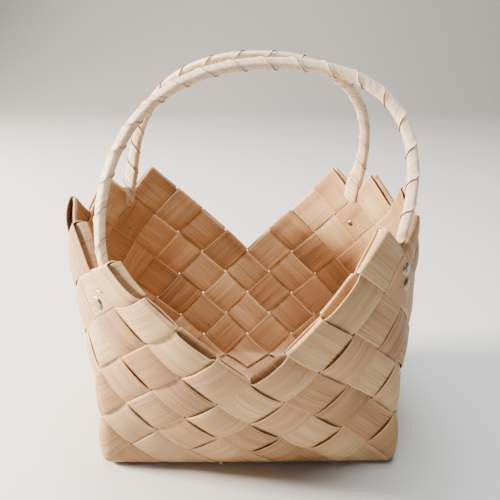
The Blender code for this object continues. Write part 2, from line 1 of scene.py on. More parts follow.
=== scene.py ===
"""Looks for the plaited splint basket: fine splints, wound bows, rivets, staples and a studio.

The plait is laid out on a grid of half diagonals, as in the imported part: on the wall a place
is (column, row), on the base it is (x, y).
"""

import math

import bpy
import numpy as np
from mathutils import Matrix, Quaternion, Vector


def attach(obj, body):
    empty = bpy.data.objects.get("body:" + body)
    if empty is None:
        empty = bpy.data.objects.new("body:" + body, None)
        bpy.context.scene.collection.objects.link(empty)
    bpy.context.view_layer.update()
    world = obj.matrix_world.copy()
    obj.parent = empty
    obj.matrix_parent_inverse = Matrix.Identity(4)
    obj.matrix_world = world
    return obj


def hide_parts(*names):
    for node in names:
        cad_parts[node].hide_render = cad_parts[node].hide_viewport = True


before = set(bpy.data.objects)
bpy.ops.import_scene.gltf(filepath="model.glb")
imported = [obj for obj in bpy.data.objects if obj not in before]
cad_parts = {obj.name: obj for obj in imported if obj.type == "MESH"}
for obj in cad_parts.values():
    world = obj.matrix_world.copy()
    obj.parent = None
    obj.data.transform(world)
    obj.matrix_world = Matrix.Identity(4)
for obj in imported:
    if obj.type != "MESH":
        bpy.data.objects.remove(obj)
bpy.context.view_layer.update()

# Plait, in metres and in half diagonals of a square
PITCH = 0.030
SPACE = 0.0015
THICK = 0.0009
PLY_GAP = 0.0003
BASE_COLUMNS = 10
BASE_ROWS = 6
RIM_ROW = 9
NOTCH_ROW = 5
ROUND = 2 * (BASE_COLUMNS + BASE_ROWS)
CORNERS = (0, BASE_COLUMNS, BASE_COLUMNS + BASE_ROWS, 2 * BASE_COLUMNS + BASE_ROWS)
NOTCH_COLUMNS = (BASE_COLUMNS // 2, CORNERS[2] + BASE_COLUMNS // 2)
STEP = PITCH / math.sqrt(2)
SHARE = 1 - SPACE / PITCH
PLY_STEP = THICK + PLY_GAP
PLY_OUT = {1: 2.5 * PLY_STEP, 2: 1.5 * PLY_STEP, 3: 0.5 * PLY_STEP, 4: -0.5 * PLY_STEP}
PLY_MIDDLE = (PLY_OUT[2] + PLY_OUT[3]) / 2
BASE_LEVEL = PLY_OUT[1] + THICK / 2

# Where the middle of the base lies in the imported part
SHIFT = np.array([0.00288, 0.00027, 0.0])

# Column, the rim's x, y and height, and the x and y that the wall heads for from the base
STATIONS = np.array([
    (0, -0.0925, -0.059, 0.180, -0.0985, -0.054),
    (5, 0, -0.1075, 0.1805, 0, -0.106),
    (10, 0.0895, -0.053, 0.188, 0.0985, -0.054),
    (13, 0.1095, 0.002, 0.1895, 0.1335, 0.002),
    (16, 0.0865, 0.058, 0.186, 0.102, 0.062),
    (21, 0, 0.1125, 0.1765, 0, 0.0985),
    (26, -0.0975, 0.063, 0.1845, -0.102, 0.062),
    (29, -0.124, 0.002, 0.182, -0.1335, 0.002),
])

# Tips of the rim that have sunk or spread: column, columns to a side, rows down, and the move
DENTS = [
    (1.1, 1.25, 2.2, (-0.002, 0, -0.0118)),
    (2.9, 1.0, 2.2, (-0.001, 0, -0.0025)),
    (11.0, 0.9, 1.7, (0.004, -0.001, -0.005)),
    (31.0, 0.7, 3.0, (-0.0005, 0, 0)),
]

# Easing of the sheet's bends: steps to either side, and the share of each
TAPS = 0.2 * np.array([-1.0, -0.5, 0.0, 0.5, 1.0])
TAP_SHARES = np.array([1, 3, 4, 3, 1]) / 12
PROBE = 0.02

# Places across a splint, as shares of half its width, and how thick it is there
ACROSS = np.array([-1, -0.975, -0.88, -0.66, -0.36, 0, 0.36, 0.66, 0.88, 0.975, 1.0])
EDGE = np.array([0.4, 0.95, 1, 1, 1, 1, 1, 1, 1, 0.95, 0.4])
ROWS_PER_SQUARE = 16
END_ROWS = 12

# Waver of a splint, and the unevenness of its edges as pace and reach
WANDER = 0.012
RAGGED = ((5.3, 0.0050), (13.7, 0.0032), (31.1, 0.0024), (67.3, 0.0016))

# Change from ply to ply, as a share of a square, and the swelling between the changes
SWITCH = 0.26
PUFF_OUT = 0.0018
PUFF_IN = 0.0011
PUFF_FLOOR = 0.0006
PUFF_REACH = 0.48
PUFF_UNEVEN = 0.35
PUFF_CUP = 0.35

# Folds over the rim: their height, how loose each ply lies at the two kinds, and how far down
FOLD_REACH = 0.0016
FOLD_TURN = 15
OUTER_FOLD_LOOSE = {1: 0.0003, 2: 0.0, 3: -0.0001, 4: -0.0012}
INNER_FOLD_LOOSE = {1: 0.0003, 2: -0.0021, 3: -0.0018, 4: -0.0018}
LOOSE_ROWS = 0.75
LOOSE_BLEND = 0.3

# Handle ends and the pockets between the plies
TONGUE_THICK = 0.0028
TONGUE_WIDTH = 0.0076
TONGUE_TIP_THICK = 0.0016
TONGUE_TIP_ROW = 6.36
TONGUE_EXIT_ROW = 8.25
TONGUE_SIDE = 0.25
POCKET_ROW = 7
POCKET_FADE = 2
POCKET_COLUMNS = 2
POCKET_SPREAD = (TONGUE_THICK + PLY_GAP) / 2
LOWER_FIXING_ROW = 6.76
UPPER_FIXING_ROW = 7.38

# At the back the handles come inside, under the innermost ply, and the pockets close again
INSIDE_LEVEL = -0.0029
INSIDE_FROM_ROW = 7.05
INSIDE_ROWS = 0.7
CLOSED_ROW = 7.95
CLOSING_ROWS = 0.35
BULGE = -0.0022
BULGE_ROW = 7.45
BULGE_ROWS = 0.4
BULGE_COLUMNS = 0.5

# For each handle end: its lean to the left, its drift towards the rim in columns, its lean out of
# the wall, where its section starts to grow and is grown, in lengths of the hidden end, and how
# much it flares above the wall
POCKETS = {
    "front_left": {"corner": CORNERS[0], "lean": 0.75, "drift": 0.44, "outward": 0,
                   "thin_to": 0.8, "grown_at": 1.15, "flare": -0.1},
    "front_right": {"corner": CORNERS[1], "lean": -0.3, "drift": -0.36, "outward": 0.25,
                    "thin_to": 0.8, "grown_at": 1.25, "flare": -0.25},
    "back_right": {"corner": CORNERS[2], "lean": 0.5, "drift": -0.16, "outward": 0,
                   "thin_to": 0.62, "grown_at": 0.85, "flare": 1.0},
    "back_left": {"corner": CORNERS[3], "lean": 0.5, "drift": 0, "outward": 0,
                  "thin_to": 0.62, "grown_at": 0.85, "flare": 0.9},
}

# For each bow: its ends, its top, and how far the curve is pulled along at the roots and at the
# top. Its wrapping: the way it turns, how far past the hidden ends it starts and stops, and at
# which share of a turn
BOWS = {
    "front": {"ends": ("front_left", "front_right"), "top": (0.0145, -0.0048, 0.2757),
              "pulls": (0.034, 0.1075), "wrap": (-1, -0.006, -0.008, 0.1)},
    "back": {"ends": ("back_left", "back_right"), "top": (0.0065, 0.0048, 0.279),
             "pulls": (0.0345, 0.089), "wrap": (1, -0.029, -0.012, 0.3)},
}
BOW_WIDTH = 0.0056
BOW_THICK = 0.0038
BOW_STEP = 0.0015
BOW_SMOOTHINGS = 40
LEG_ROWS = 20
LEG_STEPS = 120
FLARE_ABOVE = 0.004
FLARE_REACH = 0.026
CORE_SIDES = 28
CORE_GIRTH = 0.018
CORE_SQUARENESS = 4
CORE_SEED = 3
WRAP_PITCH = 0.0194
WRAP_WIDTH = 0.0205
WRAP_THICK = 0.0005
WRAP_GAP = 0.0003
WRAP_SQUARENESS = 3.2
WRAP_STEPS_PER_TURN = 44
WRAP_TURN_SHARES = 8
WRAP_SEED = 5
LAP_FROM = 0.80
LAP_RISE = 0.18
LAP_GAP = 0.0002

# Room that the handle ends take out of the splints
ROOM_LENGTH = 0.075
ROOM_GAP = 0.0006
ROOM_SIDES = 16
ROOM_SQUARENESS = 5
NEAR = 0.005

# Rivets, with the tail as radius and height past the wall, and the wire of the staples
FIT_GAP = 0.0001
AXIS_RADIUS = 0.00002
HEAD_RADIUS = 0.0045
HEAD_HEIGHT = 0.0017
HEAD_RIM = 0.00015
SHANK_RADIUS = 0.0015
TAIL = [
    (AXIS_RADIUS, 0.0009), (0.0007, 0.00085), (0.0016, 0.0007),
    (0.0023, 0.0004), (0.0026, 0.0001), (0.0024, 0),
]
DOME_STEPS = 12
RIVET_SIDES = 40
STAPLE_WIDTH = 0.0062
STAPLE_FOOT = 0.0016
STAPLE_BEND = 0.0007
STAPLE_BEND_TURNS = (18, 36, 54, 72, 90)
WIRE_RADIUS = 0.0005
WIRE_SIDES = 12
RIVETS = [
    ("rivet_front_right_upper", "front_right", UPPER_FIXING_ROW),
    ("rivet_front_right_lower", "front_right", LOWER_FIXING_ROW),
    ("rivet_front_left", "front_left", 6.92),
    ("rivet_back_right", "back_right", LOWER_FIXING_ROW),
    ("rivet_back_left", "back_left", LOWER_FIXING_ROW),
]
STAPLES = [
    ("staple_front_left", "front_left", 7.56),
    ("staple_back_right", "back_right", UPPER_FIXING_ROW),
    ("staple_back_left", "back_left", UPPER_FIXING_ROW),
]

# Edges that turn by more degrees than this stay sharp
SHARP_ANGLE = 38


# Small helpers

def ease(t):
    t = np.clip(t, 0, 1)
    return t * t * (3 - 2 * t)


def unit(vectors):
    return vectors / np.linalg.norm(vectors, axis=-1, keepdims=True)


def vector(array):
    return Vector([float(c) for c in array])


def columns_from(column, middle):
    """Columns from the middle the short way round, to either side."""
    return np.mod(column - middle + ROUND / 2, ROUND) - ROUND / 2


# Shape of the wall, for arrays of places

def rim_row(column):
    """The row of the zigzag rim at a whole column."""
    column = column % ROUND
    from_middle = min(abs(column - middle) for middle in NOTCH_COLUMNS)
    return min(RIM_ROW - 1 + column % 2, NOTCH_ROW + from_middle)


RIM_COLUMNS = np.arange(ROUND + 1)
RIM_ROWS = np.array([rim_row(column) for column in RIM_COLUMNS])


def below_rim(column, row):
    """Rows from a place up to the zigzag of the rim."""
    return np.interp(np.mod(column, ROUND), RIM_COLUMNS, RIM_ROWS) - row


def base_edge(column):
    """The edge of the base at each column."""
    column = np.mod(column, ROUND)
    right, back, left = CORNERS[1:]
    sides = [column <= right, column <= back, column <= left]
    x = np.select(sides, [column, np.full_like(column, BASE_COLUMNS), BASE_COLUMNS + back - column], 0.0)
    y = np.select(sides, [np.zeros_like(column), column - right, np.full_like(column, BASE_ROWS)],
                  BASE_ROWS + left - column)
    return (x - BASE_COLUMNS / 2) * STEP, (y - BASE_ROWS / 2) * STEP


def stations(column):
    """All station values at the columns, on a smooth closed curve."""
    knots = STATIONS[:, 0]
    values = STATIONS[:, 1:]
    before = np.mod(knots - np.roll(knots, 1), ROUND)[:, None]
    after = np.mod(np.roll(knots, -1) - knots, ROUND)[:, None]
    rise_before = (values - np.roll(values, 1, 0)) / before
    rise_after = (np.roll(values, -1, 0) - values) / after
    slopes = (rise_before * after + rise_after * before) / (before + after)
    column = np.mod(column, ROUND)
    index = np.searchsorted(knots, column, side="right") - 1
    following = (index + 1) % len(knots)
    span = after[index]
    t = (column - knots[index])[..., None] / span
    start = (2 * t ** 3 - 3 * t ** 2 + 1) * values[index] + (t ** 3 - 2 * t ** 2 + t) * span * slopes[index]
    end = (3 * t ** 2 - 2 * t ** 3) * values[following] + (t ** 3 - t ** 2) * span * slopes[following]
    return start + end


def dents(column, row):
    """How far single tips of the rim have moved."""
    total = 0
    for middle, width, rows, move in DENTS:
        beside = columns_from(column, middle)
        share = np.exp(-(beside / width) ** 2) * np.clip(1 - below_rim(column, row) / rows, 0, 1)
        total = total + share[..., None] * np.array(move)
    return total


def wall_surface(column, row):
    """Places above the edge of the base."""
    column = np.asarray(column, float)
    rim_x, rim_y, height, aim_x, aim_y = np.moveaxis(stations(column), -1, 0)
    up = row / RIM_ROW
    base_x, base_y = base_edge(column)
    x = base_x * (1 - up) ** 2 + aim_x * 2 * up * (1 - up) + rim_x * up ** 2
    y = base_y * (1 - up) ** 2 + aim_y * 2 * up * (1 - up) + rim_y * up ** 2
    return np.stack([x, y, BASE_LEVEL + height * up], -1) + dents(column, row)


def flat_surface(x, y):
    """Places on the base."""
    level = np.full(np.shape(x), BASE_LEVEL)
    return np.stack([(x - BASE_COLUMNS / 2) * STEP, (-y - BASE_ROWS / 2) * STEP, level], -1)


def chart_surface(chart, a, b):
    """The unsmoothed sheet between the second and third ply, from either side of the base's edge."""
    right, back, left = CORNERS[1:]
    if chart == "base":
        out = flat_surface(a, b)
        for beyond, column, row in (
                (b > 0, a, b),
                (a > BASE_COLUMNS, right - b, a - BASE_COLUMNS),
                (b < -BASE_ROWS, left - a, -BASE_ROWS - b),
                (a < 0, ROUND + b, -a)):
            out = np.where(beyond[..., None], wall_surface(column, np.maximum(row, 0)), out)
        return out
    column = np.mod(a, ROUND)
    sides = [column < right, column < back, column < left]
    x = np.select(sides, [column, BASE_COLUMNS + b, left - column], -b)
    y = np.select(sides, [b, right - column, -BASE_ROWS - b], column - ROUND)
    return np.where((b < 0)[..., None], flat_surface(x, y), wall_surface(column, np.maximum(b, 0)))


def smooth_surface(chart, a, b):
    """The sheet with its corners eased, as bent wood would run."""
    around = (1,) * np.ndim(a)
    aa = a + np.repeat(TAPS, len(TAPS)).reshape(-1, *around)
    bb = b + np.tile(TAPS, len(TAPS)).reshape(-1, *around)
    return np.tensordot(np.outer(TAP_SHARES, TAP_SHARES).ravel(), chart_surface(chart, aa, bb), 1)


def surface_frame(chart, a, b):
    """Places on the sheet and the ways out of it."""
    a, b = np.broadcast_arrays(a, b)
    beside = np.array([0.0, PROBE, -PROBE, 0.0, 0.0]).reshape(-1, *(1,) * a.ndim)
    middle, right, left, above, below = smooth_surface(chart, a + beside, b + np.roll(beside, 2, 0))
    return middle, unit(np.cross(right - left, above - below))


def opening(column, row):
    """How far the plies part for a handle, from 0 to 1."""
    away = np.array([np.abs(columns_from(column, corner)) for corner in CORNERS])
    beside = np.clip(POCKET_COLUMNS - away.min(0), 0, 1)
    below = np.clip((row - (POCKET_ROW - 1 - POCKET_FADE)) / POCKET_FADE, 0, 1)
    at_back = np.minimum(away[2], away[3]) < POCKET_COLUMNS
    return beside * below * np.where(at_back, ease((CLOSED_ROW - row) / CLOSING_ROWS), 1)


def bulge(column, row):
    """How far the innermost ply stands in where a back handle slips under it, from 0 to 1."""
    up = (row - BULGE_ROW) / BULGE_ROWS
    total = 0
    for corner in CORNERS[2:]:
        beside = (column - corner - TONGUE_SIDE) / BULGE_COLUMNS
        total = total + np.exp(-beside ** 2 - up ** 2)
    return total


# Paths of the splints

def wall_to_base(column):
    """The base place on the edge at a column, and the turn from wall to base."""
    right, back, left = CORNERS[1:]
    column = column % ROUND
    if column < right:
        return (column, 0), lambda dc, dr: (dc, dr)
    if column < back:
        return (BASE_COLUMNS, right - column), lambda dc, dr: (dr, -dc)
    if column < left:
        return (left - column, -BASE_ROWS), lambda dc, dr: (-dc, -dr)
    return (0, column - ROUND), lambda dc, dr: (-dr, dc)


def base_to_wall(x, y):
    """The column at a place on the edge of the base, and the turn from base to wall."""
    right, back, left = CORNERS[1:]
    if y == 0:
        return x, lambda dx, dy: (dx, dy)
    if x == BASE_COLUMNS:
        return right - y, lambda dx, dy: (-dy, dx)
    if y == -BASE_ROWS:
        return left - x, lambda dx, dy: (-dx, -dy)
    return ROUND + y, lambda dx, dy: (dy, -dx)


def outer_ply(column, dc, dr):
    """1 where the splint lies outside, 2 where it passes behind the crossing one."""
    leans_right = dc * dr > 0
    return 1 if leans_right == (column % 2 == 0) else 2


def climb(column, direction):
    """Squares from the edge of the base up to the rim, as (chart, a, b, heading, ply)."""
    squares = []
    row = 0
    while row < rim_row(column):
        column = column % ROUND
        squares.append(("wall", column, row, (direction, 1), outer_ply(column, direction, 1)))
        column += direction
        row += 1
    return squares


def splint_squares(column, direction):
    """The outer run of a splint, from rim to rim, and the column where it starts to climb again."""
    rising = climb(column, -direction)
    run = [(chart, a, b, (-da, -db), ply) for chart, a, b, (da, db), ply in rising[::-1]]
    (x, y), turn = wall_to_base(column)
    dx, dy = turn(direction, -1)
    ply = outer_ply(column, direction, -1)
    while True:
        x, y, ply = x + dx, y + dy, 3 - ply
        if x in (0, BASE_COLUMNS) or y in (0, -BASE_ROWS):
            end, turn_up = base_to_wall(x, y)
            return run + climb(end, turn_up(dx, dy)[0]), end
        run.append(("base", x, y, (dx, dy), ply))


# Surfaces of the splints

def wander(seed, q):
    """A slow, small, repeatable waver along a splint."""
    phase = seed * 2.399
    return WANDER * (0.6 * np.sin(q * 0.83 + phase) + 0.4 * np.sin(q * 1.91 + 2 * phase))


def ragged(seed, q):
    """The fine unevenness of a split edge, as a share of half the width."""
    total = 0
    for k, (pace, reach) in enumerate(RAGGED):
        total = total + reach * np.sin(q * pace + seed * (1.7 + k) + k)
    return total


def run_levels(squares, plies, q):
    """Distance out of the sheet along a run, easing from ply to ply between the squares."""
    index = np.clip(np.floor(q + 0.5).astype(int), 0, len(squares) - 1)
    level = np.array([PLY_OUT[p] for p in plies])
    frac = q - index
    neighbour = np.clip(index + np.sign(frac).astype(int), 0, len(squares) - 1)
    blend = 0.5 * ease((np.abs(frac) - (0.5 - SWITCH / 2)) / (SWITCH / 2))
    return level[index] + (level[neighbour] - level[index]) * blend, index, frac


def run_puffs(squares, plies, index, frac, seed):
    """How far the middle of the splint swells along a run."""
    puff = np.zeros(len(index))
    for k, (chart, _, row, _, _) in enumerate(squares):
        here = index == k
        swell = np.clip(1 - (frac[here] / PUFF_REACH) ** 2, 0, 1)
        uneven = 1 + PUFF_UNEVEN * math.sin(seed * 5.1 + k * 2.3)
        if plies[k] == 1 and chart == "wall" and row > 0:
            puff[here] = PUFF_OUT * swell * uneven
        elif plies[k] == 4:
            puff[here] = -PUFF_IN * swell * uneven
        elif plies[k] == 2 and chart == "base":
            puff[here] = -PUFF_FLOOR * swell
    return puff


def looseness(column, ply, a, b):
    """How far a ply lies out of its place near the rim, at places round a square on the wall."""
    to_right = ease((a - column) * (1 if column % 2 == 0 else -1) / LOOSE_BLEND + 0.5)
    slack = OUTER_FOLD_LOOSE[ply] * to_right + INNER_FOLD_LOOSE[ply] * (1 - to_right)
    loose = slack * ease(1 - below_rim(a, b) / LOOSE_ROWS)
    if ply == 4:
        loose += BULGE * bulge(a, b)
    return loose


def run_points(squares, plies, q, seed):
    """Middle surface and ways out of one run at the path places q, over the full width."""
    level, index, frac = run_levels(squares, plies, q)
    shape = (len(q), len(ACROSS))
    place = np.zeros(shape + (3,))
    normal = np.zeros(shape + (3,))
    openings = np.zeros(shape)
    loose = np.zeros(shape)
    side = wander(seed, q)
    spread = np.broadcast_to(ACROSS, shape).copy()
    spread[:, -2:] += ragged(seed, q)[:, None]
    spread[:, :2] += ragged(seed + 50, q)[:, None]
    for k, (chart, a, b, (da, db), _) in enumerate(squares):
        here = index == k
        if not here.any():
            continue
        offset = spread[here] * SHARE / 2 + side[here][:, None]
        aa = a + frac[here][:, None] * da - offset * db
        bb = b + frac[here][:, None] * db + offset * da
        place[here], normal[here] = surface_frame(chart, aa, bb)
        if chart == "wall":
            openings[here] = opening(aa, bb)
            loose[here] = looseness(a, plies[k], aa, bb)
    parting = np.where(np.array(plies)[index] <= 2, POCKET_SPREAD, -POCKET_SPREAD)
    puff = run_puffs(squares, plies, index, frac, seed)
    cup = 1 - PUFF_CUP * ACROSS[None, :] ** 2
    lift = level[:, None] + puff[:, None] * cup * (1 - openings) + loose
    lift = lift + parting[:, None] * openings
    return place + normal * lift[..., None], normal


def fold_rows(outer_edge, inner_edge, beyond):
    """Rows round the fold over the rim, from the outer edge line to the inner one."""
    rows, ways = [], []
    half = np.linalg.norm(outer_edge - inner_edge, axis=-1, keepdims=True) / 2
    middle = (outer_edge + inner_edge) / 2
    out = (outer_edge - inner_edge) / (2 * half)
    ahead = unit(beyond - out * np.sum(beyond * out, -1, keepdims=True))
    for turn in range(FOLD_TURN, 180, FOLD_TURN):
        angle = math.radians(turn)
        rows.append(middle + out * half * math.cos(angle) + ahead * FOLD_REACH * math.sin(angle))
        ways.append(unit(out * math.cos(angle) / half + ahead * math.sin(angle) / FOLD_REACH))
    return rows, ways


def splint_grid(squares, seed):
    """The whole splint, from its inner end over one rim, round the outside and back."""
    count = len(squares)
    outer_plies = [square[4] for square in squares]
    inner_plies = [ply + 2 for ply in outer_plies]
    edge = SHARE / 2

    def run(first, last, plies):
        steps = last - first - 1
        q = np.linspace(-edge, steps + edge, steps * ROWS_PER_SQUARE + END_ROWS)
        return run_points(squares[first:last], plies[first:last], q, seed)

    first_climb = sum(1 for square in squares[:count // 2] if square[0] == "wall")
    last_climb = sum(1 for square in squares[count // 2:] if square[0] == "wall")
    outer, outer_ways = run(0, count, outer_plies)
    start, start_ways = run(0, first_climb, inner_plies)
    end, end_ways = run(count - last_climb, count, inner_plies)
    first_rows, first_ways = fold_rows(outer[0], start[0], outer[0] - outer[1])
    last_rows, last_ways = fold_rows(outer[-1], end[-1], outer[-1] - outer[-2])
    rows = list(start[::-1]) + first_rows[::-1] + list(outer) + last_rows + list(end[::-1])
    ways = list(-start_ways[::-1]) + first_ways[::-1] + list(outer_ways) + last_ways + list(-end_ways[::-1])
    return np.array(rows), np.array(ways)


# Meshes

def new_object(name, verts, faces, material, maps=()):
    """A smooth mesh with sharp edges kept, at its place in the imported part."""
    mesh = bpy.data.meshes.new(name)
    mesh.from_pydata((np.asarray(verts) + SHIFT).tolist(), [], faces)
    loop_verts = np.zeros(len(mesh.loops), int)
    mesh.loops.foreach_get("vertex_index", loop_verts)
    for label, uvs in maps:
        mesh.uv_layers.new(name=label).data.foreach_set("uv", np.asarray(uvs)[loop_verts].ravel())
    mesh.shade_smooth()
    mesh.set_sharp_from_angle(angle=math.radians(SHARP_ANGLE))
    mesh.materials.append(material)
    made = bpy.data.objects.new(name, mesh)
    bpy.context.scene.collection.objects.link(made)
    return made


def ring_faces(count, around):
    """Faces between closed rings, and a cap at each end."""
    k = np.arange(around)
    following = (k + 1) % around
    faces = []
    for i in range(count - 1):
        near, far = i * around, (i + 1) * around
        faces += np.stack([near + k, near + following, far + following, far + k], -1).tolist()
    faces.append(list(range(around))[::-1])
    faces.append(list(range((count - 1) * around, count * around)))
    return faces


def wood_maps(along, across, seed, place):
    """Texture places for wood: its grain in metres, and the place on the strip."""
    grain = np.stack(np.broadcast_arrays(along + seed * 0.731, across + seed * 0.317), -1)
    return ("grain", grain.reshape(-1, 2)), ("place", place.reshape(-1, 2))


def strip_object(name, rows, ways, thick, width, material, seed):
    """A closed strip of wood about its middle surface."""
    n, m = rows.shape[:2]
    half = thick / 2 * EDGE[None, :, None]
    rings = np.concatenate([rows + ways * half, (rows - ways * half)[:, ::-1]], 1)
    step = np.linalg.norm(np.diff(rows[:, m // 2], axis=0), axis=-1)
    length = np.concatenate([[0], np.cumsum(step)])[:, None]
    across = np.concatenate([ACROSS, ACROSS[::-1]])
    place = np.stack(np.broadcast_arrays(length, across[None, :]), -1)
    maps = wood_maps(length, across * width / 2, seed, place)
    return new_object(name, rings.reshape(-1, 3), ring_faces(n, 2 * m), material, maps)


def finish_piece(made, node):
    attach(made, "root")
    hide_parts(node)


# Materials

class Nodes:
    """Short hands for wiring a material."""

    def __init__(self, name):
        self.material = bpy.data.materials.new(name)
        self.material.use_nodes = True
        self.tree = self.material.node_tree
        self.shader = self.tree.nodes["Principled BSDF"]

    def add(self, kind, inputs=(), **settings):
        node = self.tree.nodes.new(kind)
        for key, value in settings.items():
            setattr(node, key, value)
        for key, value in dict(inputs).items():
            self.put(value, node.inputs[key])
        return node

    def put(self, value, socket):
        if isinstance(value, bpy.types.NodeSocket):
            self.tree.links.new(value, socket)
        else:
            socket.default_value = value

    def math(self, operation, a, b=0.0):
        return self.add("ShaderNodeMath", {0: a, 1: b}, operation=operation).outputs[0]

    def step(self, value, low, high):
        """0 below low, 1 above high."""
        settings = {"Value": value, "From Min": low, "From Max": high}
        return self.add("ShaderNodeMapRange", settings, interpolation_type="SMOOTHSTEP").outputs[0]

    def span(self, value, low, high):
        """From low to high as the value goes from 0 to 1."""
        return self.add("ShaderNodeMapRange", {"Value": value, "To Min": low, "To Max": high}).outputs[0]

    def mix(self, factor, a, b):
        node = self.add("ShaderNodeMix", data_type="RGBA")
        self.put(factor, node.inputs[0])
        self.put(a, node.inputs[6])
        self.put(b, node.inputs[7])
        return node.outputs[2]

    def noise(self, vector, scale, detail, rough=0.55, distortion=0.0):
        mapping = self.add("ShaderNodeMapping", {"Vector": vector, "Scale": scale}).outputs["Vector"]
        settings = {"Vector": mapping, "Scale": 1.0, "Detail": detail, "Roughness": rough,
                    "Distortion": distortion}
        return self.add("ShaderNodeTexNoise", settings).outputs["Fac"]

    def bump(self, height, strength, distance):
        settings = {"Strength": strength, "Distance": distance, "Height": height}
        self.put(self.add("ShaderNodeBump", settings).outputs["Normal"], self.shader.inputs["Normal"])


def colour(red, green, blue):
    """A display colour as linear light."""
    linear = (c / 12.92 if c <= 0.04045 else ((c + 0.055) / 1.055) ** 2.4 for c in (red, green, blue))
    return (*linear, 1)


# A name, light wood, darker wood and fibres for each set of splint colours
SPLINT_WOODS = [
    ("splint_light", colour(0.78, 0.63, 0.46), colour(0.69, 0.52, 0.36), colour(0.49, 0.33, 0.20)),
    ("splint_warm", colour(0.74, 0.58, 0.41), colour(0.64, 0.47, 0.32), colour(0.44, 0.29, 0.17)),
    ("splint_pale", colour(0.81, 0.67, 0.50), colour(0.73, 0.57, 0.40), colour(0.53, 0.37, 0.23)),
]
CORE_WOOD = (colour(0.82, 0.67, 0.50), colour(0.70, 0.53, 0.36), colour(0.5, 0.34, 0.2))
WRAP_WOOD = (colour(0.94, 0.86, 0.74), colour(0.89, 0.78, 0.63), colour(0.62, 0.46, 0.31))
WRAP_FIBRE = 1.2
# Painted shade: the wrap's edges are painted dark for the shadow at the seams where the turns lap.
WRAP_SEAM_SHADE = colour(0.42, 0.27, 0.15)
# The rivets' warm brown tint is partly their metal's own colour and partly painted reflection of the wood
# round them.
RIVET_METAL = (colour(0.72, 0.66, 0.58), colour(0.50, 0.43, 0.35), 0.34)
STAPLE_METAL = (colour(0.78, 0.70, 0.56), colour(0.55, 0.46, 0.34), 0.38)
SHADE_SPREAD = 0.07


def wood_material(name, light, dark, deep, fibre=1.0, rim=None):
    """Split wood, its grain along the strip, with a painted highlight along its edges unless another edge
    colour is given.

    The layers of noise run from broad to hair-fine, each far denser across the grain than along it.
    """
    n = Nodes(name)
    grain = n.add("ShaderNodeUVMap", uv_map="grain").outputs["UV"]
    place = n.add("ShaderNodeUVMap", uv_map="place").outputs["UV"]
    broad = n.noise(grain, (5, 90, 1), 3.0, 0.5, 0.5)
    band = n.noise(grain, (2.5, 260, 1), 2.0, 0.5, 0.2)
    fine = n.noise(grain, (16, 1100, 1), 4.0, 0.65)
    hair = n.noise(grain, (40, 3600, 1), 2.0, 0.6)
    cloud = n.noise(grain, (16, 34, 1), 3.0, 0.55)
    body = n.mix(n.step(broad, 0.32, 0.68), dark, light)
    body = n.mix(n.math("MULTIPLY", n.step(band, 0.52, 0.70), 0.35 * fibre), body, dark)
    body = n.mix(n.math("MULTIPLY", n.step(fine, 0.47, 0.68), 0.75 * fibre), body, deep)
    body = n.mix(n.math("MULTIPLY", n.step(cloud, 0.45, 0.75), 0.30), body, light)
    body = n.mix(n.math("MULTIPLY", n.step(hair, 0.62, 0.74), 0.5 * fibre), body, deep)
    across = n.add("ShaderNodeSeparateXYZ", {"Vector": place}).outputs["Y"]
    # Painted highlight: a band along both edges of the strip is painted paler.
    edge = n.step(n.math("ABSOLUTE", across), 0.93, 0.99)
    edge_highlight = (*(min(c * 1.25 + 0.05, 1) for c in light[:3]), 1)
    # Where an edge colour is given, as for the wraps, the band is painted seam shade instead of highlight.
    body = n.mix(n.math("MULTIPLY", edge, 0.55 if rim is None else 1.0), body, rim or edge_highlight)
    n.put(body, n.shader.inputs["Base Color"])
    n.put(n.span(fine, 0.48, 0.70), n.shader.inputs["Roughness"])
    n.put(0.3, n.shader.inputs["Specular IOR Level"])
    n.bump(n.math("ADD", n.math("MULTIPLY", fine, 0.6), n.math("MULTIPLY", hair, 0.4)), 0.55, 0.0006)
    return n.material


def metal_material(name, tint, dull, rough):
    """Worn plated metal with fine scratches and dull spots."""
    n = Nodes(name)
    place = n.add("ShaderNodeTexCoord").outputs["Object"]
    spots = n.noise(place, (700, 700, 700), 4.0)
    scratches = n.noise(place, (300, 3000, 900), 3.0)
    n.put(n.mix(n.step(spots, 0.40, 0.65), tint, dull), n.shader.inputs["Base Color"])
    n.put(1.0, n.shader.inputs["Metallic"])
    n.put(n.span(spots, rough - 0.08, rough + 0.14), n.shader.inputs["Roughness"])
    n.bump(scratches, 0.2, 0.0002)
    return n.material


# Bows

class Pocket:
    """Where a handle end lies: beside a corner, between the second and the third ply."""

    def __init__(self, corner, lean, drift, outward, thin_to, grown_at, flare):
        self.corner = corner
        self.drift = drift
        self.growth = (thin_to, grown_at, flare)
        self.inside = corner in CORNERS[2:]
        columns = np.array([corner, corner, corner + SHARE])
        rows = np.array([POCKET_ROW + SHARE, POCKET_ROW - SHARE, POCKET_ROW])
        top, bottom, right = wall_surface(columns, rows)
        self.row_way = vector(unit(top - bottom))
        self.out = vector(unit(np.cross(right - bottom, top - bottom)))
        self.faces_side = abs(self.out.x) > abs(self.out.y)
        leaning = self.row_way + self.out.cross(self.row_way) * lean + self.out * outward
        self.bow_way = leaning.normalized()

    def sideward(self, side):
        """Square to the handle, out of the facet or along it, to the left or to the right."""
        way = self.out if self.faces_side else self.row_way.cross(self.out).normalized()
        return way * math.copysign(1, way.x * side)

    def place(self, row, level=PLY_MIDDLE):
        """A place in the pocket. Towards the rim a handle can drift sideways or come inside."""
        drifted = max(row - LOWER_FIXING_ROW, 0) / (TONGUE_EXIT_ROW - LOWER_FIXING_ROW)
        column = self.corner + TONGUE_SIDE + self.drift * drifted
        if self.inside and level == PLY_MIDDLE:
            level += (INSIDE_LEVEL - level) * float(ease((row - INSIDE_FROM_ROW) / INSIDE_ROWS))
        here, out = surface_frame("wall", np.array([column]), np.array([float(row)]))
        return vector(here[0] + out[0] * level), vector(out[0])


